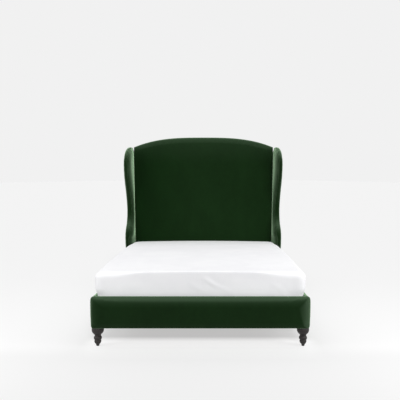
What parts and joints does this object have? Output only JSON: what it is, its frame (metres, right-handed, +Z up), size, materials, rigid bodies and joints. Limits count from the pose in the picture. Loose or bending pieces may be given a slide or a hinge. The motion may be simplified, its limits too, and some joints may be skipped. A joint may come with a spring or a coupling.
{
  "type": "upholstered wingback bed",
  "caption": "King size bed with a tall arched wingback headboard in dark green velvet, padded rails, turned wooden legs, a sprung slat base and a mattress with a white fitted sheet.",
  "frame": {"origin": "on the floor, at the centre of the bed's plan", "axes": "+Z up, +Y towards the headboard, +X to the right seen from the foot"},
  "size_m": [1.6556, 2.1658, 1.657],
  "materials": {
    "velvet": "short-pile velvet, dark green",
    "sheet": "woven cotton, white",
    "ticking": "knitted ticking",
    "filling": "upholstery foam and springs",
    "lining": "non-woven lining, black",
    "leg_wood": "dark stain, satin lacquer",
    "frame_wood": "planed softwood",
    "plywood": "sanded birch plywood",
    "slat_wood": "lacquered beech",
    "steel": "zinc plated",
    "plastic": "moulded, black"
  },
  "bodies": {
    "bed_frame": {"angle_brackets": "steel", "base_screws": "steel", "beam_hangers": "steel", "bracket_bolts": "steel", "centre_beam": "frame_wood", "centre_leg_dowel_screws": "steel", "centre_leg_front": "frame_wood", "centre_leg_rear": "frame_wood", "corner_block_left": "frame_wood", "corner_block_right": "frame_wood", "corner_bolts": "steel", "foot_rail_board": "frame_wood", "foot_rail_cover": "velvet", "foot_rail_foam": "filling", "front_left_leg": "leg_wood", "front_right_leg": "leg_wood", "head_cross_rail": "frame_wood", "headboard_bottom_rail": "frame_wood", "headboard_cover": "velvet", "headboard_foam": "filling", "headboard_left_post": "frame_wood", "headboard_lining": "lining", "headboard_middle_rail": "frame_wood", "headboard_panel": "plywood", "headboard_right_post": "frame_wood", "headboard_stiles": "frame_wood", "headboard_top_rail": "frame_wood", "ledger_left": "frame_wood", "ledger_right": "frame_wood", "left_rail_board": "frame_wood", "left_rail_cover": "velvet", "left_rail_foam": "filling", "left_wing_core": "plywood", "left_wing_cover": "velvet", "left_wing_foam": "filling", "leg_bolts": "steel", "leg_glides": "plastic", "rear_left_leg": "leg_wood", "rear_right_leg": "leg_wood", "right_rail_board": "frame_wood", "right_rail_cover": "velvet", "right_rail_foam": "filling", "right_wing_core": "plywood", "right_wing_cover": "velvet", "right_wing_foam": "filling", "slat_centre_caps": "plastic", "slat_end_caps": "plastic", "slats_left": "slat_wood", "slats_right": "slat_wood", "threaded_inserts": "steel", "wing_battens": "frame_wood", "wing_bolts": "steel"},
    "mattress": {"mattress_base_layer": "filling", "mattress_comfort_layer": "filling", "mattress_spring_unit": "filling", "mattress_ticking": "ticking", "fitted_sheet": "sheet"},
    "front_levelling_foot": {"levelling_foot_front": "steel"},
    "rear_levelling_foot": {"levelling_foot_rear": "steel"}
  },
  "joints": [
    {"name": "mattress_lift", "type": "slide", "parent": "bed_frame", "child": "mattress", "axis": [0, 0, 1], "range_m": [0, 0.4]},
    {"name": "front_foot_screw", "type": "slide", "parent": "bed_frame", "child": "front_levelling_foot", "axis": [0, 0, -1], "range_m": [0, 0.012]},
    {"name": "rear_foot_screw", "type": "slide", "parent": "bed_frame", "child": "rear_levelling_foot", "axis": [0, 0, -1], "range_m": [0, 0.012]}
  ]
}
